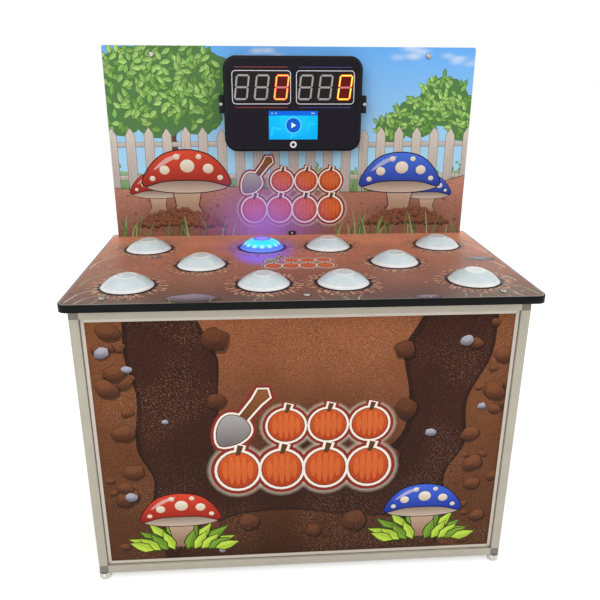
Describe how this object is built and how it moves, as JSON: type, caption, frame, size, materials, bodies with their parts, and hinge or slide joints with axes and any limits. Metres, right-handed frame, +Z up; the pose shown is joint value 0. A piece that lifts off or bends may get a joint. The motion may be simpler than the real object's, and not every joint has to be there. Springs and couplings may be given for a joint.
{
  "type": "mole pounding game table",
  "caption": "Two-player tap-the-light pounding game: domed push buttons on a printed worktop, aluminium table frame, backboard with an electronic scoreboard.",
  "frame": {"origin": "under the middle of the worktop, on the plane that the four feet stand on", "axes": "+X to the player's right, +Y away from the players towards the backboard, +Z up"},
  "size_m": [1.209, 0.7, 1.489],
  "materials": {
    "frame_aluminium": "satin anodised",
    "trim_aluminium": "satin anodised",
    "connector_grey": "moulded, fine grain",
    "insert_brass": "turned",
    "foot_metal": "polished",
    "panel_print": "printed, soft gloss",
    "plain_panel": "plain, soft gloss",
    "seal_rubber": "matt",
    "worktop_core": "raw fibreboard",
    "worktop_print": "printed laminate",
    "edge_black": "satin",
    "subframe_steel": "black powder coat",
    "bolt_metal": "zinc plated",
    "dome_milky": "translucent, polished",
    "dome_lit": "translucent, polished",
    "collar_black": "moulded",
    "spring_steel": "bare steel",
    "lamp_board": "white board with lamps",
    "switch_black": "moulded",
    "backboard_print": "printed sheet",
    "grommet_rubber": "matt",
    "case_black": "moulded, fine grain",
    "fascia_black": "polished",
    "display_dark": "smoked",
    "screen_blue": "polished",
    "circuit_green": "solder mask",
    "box_grey": "powder coat",
    "inlet_black": "moulded"
  },
  "bodies": {
    "table": {"front_posts": "frame_aluminium", "rear_posts": "frame_aluminium", "front_top_rail": "frame_aluminium", "rear_top_rail": "frame_aluminium", "front_bottom_rail": "frame_aluminium", "rear_bottom_rail": "frame_aluminium", "side_top_rails": "frame_aluminium", "side_bottom_rails": "frame_aluminium", "top_corner_connectors": "connector_grey", "bottom_corner_connectors": "connector_grey", "foot_inserts": "insert_brass", "front_panel_trim": "trim_aluminium", "rear_panel_trim": "trim_aluminium", "left_panel_trim": "trim_aluminium", "right_panel_trim": "trim_aluminium", "front_panel": "panel_print", "rear_panel": "plain_panel", "left_panel": "panel_print", "right_panel": "panel_print", "panel_seals": "seal_rubber", "worktop_board": "worktop_core", "worktop_print": "worktop_print", "worktop_edge_band": "edge_black", "worktop_subframe": "subframe_steel", "worktop_bolts": "bolt_metal", "button_collars": "collar_black", "button_lock_rings": "collar_black", "button_springs": "spring_steel", "button_lamp_boards": "lamp_board", "button_switches": "switch_black", "backboard": "backboard_print", "backboard_supports": "frame_aluminium", "backboard_bolts": "bolt_metal", "cable_grommet": "grommet_rubber", "scoreboard_mounts": "case_black", "mount_bolts": "bolt_metal", "pivot_pins": "spring_steel", "control_box": "box_grey", "power_inlet": "inlet_black"},
    "left_dome_1": {"left_dome_1": "dome_milky"},
    "left_dome_2": {"left_dome_2": "dome_milky"},
    "left_dome_3": {"left_dome_3": "dome_milky"},
    "left_dome_4": {"left_dome_4": "dome_milky"},
    "left_dome_5": {"left_dome_5": "dome_lit"},
    "right_dome_1": {"right_dome_1": "dome_milky"},
    "right_dome_2": {"right_dome_2": "dome_milky"},
    "right_dome_3": {"right_dome_3": "dome_milky"},
    "right_dome_4": {"right_dome_4": "dome_milky"},
    "right_dome_5": {"right_dome_5": "dome_milky"},
    "front_left_foot": {"front_left_foot": "foot_metal"},
    "front_right_foot": {"front_right_foot": "foot_metal"},
    "rear_left_foot": {"rear_left_foot": "foot_metal"},
    "rear_right_foot": {"rear_right_foot": "foot_metal"},
    "scoreboard": {"scoreboard_case": "case_black", "scoreboard_cover": "case_black", "scoreboard_fascia": "fascia_black", "left_score_display": "display_dark", "right_score_display": "display_dark", "touch_screen": "screen_blue", "scoreboard_circuit": "circuit_green"}
  },
  "joints": [
    {"name": "left_dome_1_press", "type": "slide", "parent": "table", "child": "left_dome_1", "axis": [0, 0, -1], "range_m": [0, 0.003], "stiffness_N_per_m": 1500, "springref_m": -0.003, "deforming": ["button_springs"]},
    {"name": "left_dome_2_press", "type": "slide", "parent": "table", "child": "left_dome_2", "axis": [0, 0, -1], "range_m": [0, 0.003], "stiffness_N_per_m": 1500, "springref_m": -0.003, "deforming": ["button_springs"]},
    {"name": "left_dome_3_press", "type": "slide", "parent": "table", "child": "left_dome_3", "axis": [0, 0, -1], "range_m": [0, 0.003], "stiffness_N_per_m": 1500, "springref_m": -0.003, "deforming": ["button_springs"]},
    {"name": "left_dome_4_press", "type": "slide", "parent": "table", "child": "left_dome_4", "axis": [0, 0, -1], "range_m": [0, 0.003], "stiffness_N_per_m": 1500, "springref_m": -0.003, "deforming": ["button_springs"]},
    {"name": "left_dome_5_press", "type": "slide", "parent": "table", "child": "left_dome_5", "axis": [0, 0, -1], "range_m": [0, 0.003], "stiffness_N_per_m": 1500, "springref_m": -0.003, "deforming": ["button_springs"]},
    {"name": "right_dome_1_press", "type": "slide", "parent": "table", "child": "right_dome_1", "axis": [0, 0, -1], "range_m": [0, 0.003], "stiffness_N_per_m": 1500, "springref_m": -0.003, "deforming": ["button_springs"]},
    {"name": "right_dome_2_press", "type": "slide", "parent": "table", "child": "right_dome_2", "axis": [0, 0, -1], "range_m": [0, 0.003], "stiffness_N_per_m": 1500, "springref_m": -0.003, "deforming": ["button_springs"]},
    {"name": "right_dome_3_press", "type": "slide", "parent": "table", "child": "right_dome_3", "axis": [0, 0, -1], "range_m": [0, 0.003], "stiffness_N_per_m": 1500, "springref_m": -0.003, "deforming": ["button_springs"]},
    {"name": "right_dome_4_press", "type": "slide", "parent": "table", "child": "right_dome_4", "axis": [0, 0, -1], "range_m": [0, 0.003], "stiffness_N_per_m": 1500, "springref_m": -0.003, "deforming": ["button_springs"]},
    {"name": "right_dome_5_press", "type": "slide", "parent": "table", "child": "right_dome_5", "axis": [0, 0, -1], "range_m": [0, 0.003], "stiffness_N_per_m": 1500, "springref_m": -0.003, "deforming": ["button_springs"]},
    {"name": "front_left_foot_level", "type": "slide", "parent": "table", "child": "front_left_foot", "axis": [0, 0, -1], "range_m": [0, 0.015]},
    {"name": "front_right_foot_level", "type": "slide", "parent": "table", "child": "front_right_foot", "axis": [0, 0, -1], "range_m": [0, 0.015]},
    {"name": "rear_left_foot_level", "type": "slide", "parent": "table", "child": "rear_left_foot", "axis": [0, 0, -1], "range_m": [0, 0.015]},
    {"name": "rear_right_foot_level", "type": "slide", "parent": "table", "child": "rear_right_foot", "axis": [0, 0, -1], "range_m": [0, 0.015]},
    {"name": "scoreboard_tilt", "type": "hinge", "parent": "table", "child": "scoreboard", "pos_m": [0, 0.275, 1.32], "axis": [1, 0, 0], "range_deg": [-6, 6]}
  ]
}
